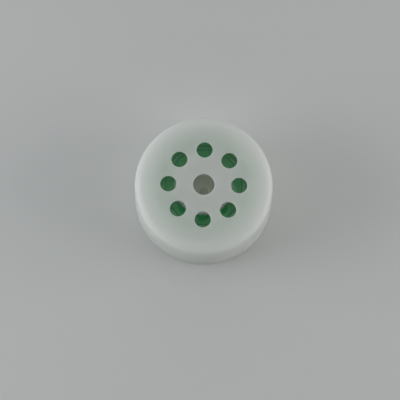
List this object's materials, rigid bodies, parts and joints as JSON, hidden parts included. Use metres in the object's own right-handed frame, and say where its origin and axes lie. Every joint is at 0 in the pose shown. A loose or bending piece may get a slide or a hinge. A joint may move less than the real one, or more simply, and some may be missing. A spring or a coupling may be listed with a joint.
{
  "type": "tilt voice drum",
  "caption": "Round translucent plastic drum with a perforated top; inside, a weighted film bellows slides when tilted and sounds a reed.",
  "frame": {"origin": "middle of the flat bottom face of the base cap, on the drum's axis", "axes": "+Z along the drum's axis, out through the perforated top; one hole of the ring lies on +X and one on +Y; the reed's clamped end points to -Y"},
  "size_m": [0.0414, 0.0414, 0.0206],
  "materials": {
    "casing_plastic": "natural translucent polypropylene, satin",
    "green_plastic": "glossy dark green moulding",
    "white_plastic": "satin moulding",
    "bellows_film": "thin pleated polyethylene film",
    "grey_plastic": "satin pale grey-green moulding",
    "reed_plastic": "satin pale olive-grey moulding",
    "plated_steel": "dull zinc plate",
    "reed_film": "drawn polyester strip",
    "foam": "open-cell polyether foam"
  },
  "bodies": {
    "drum": {"housing_cup": "casing_plastic", "base_cap": "casing_plastic", "base_pad": "foam", "bellows_ring": "green_plastic", "top_pad": "foam", "upper_clamp_ring": "white_plastic", "bellows": "bellows_film"},
    "weight": {"weight_carrier": "grey_plastic", "lower_clamp_ring": "white_plastic", "weight_slug": "plated_steel", "slug_retainer": "grey_plastic", "reed_plate": "reed_plastic", "reed_tongue": "reed_film", "reed_clip": "white_plastic"}
  },
  "joints": [
    {"name": "weight_drop", "type": "slide", "parent": "drum", "child": "weight", "axis": [0, 0, 1], "range_m": [0, 0.006], "deforming": ["bellows"]}
  ]
}
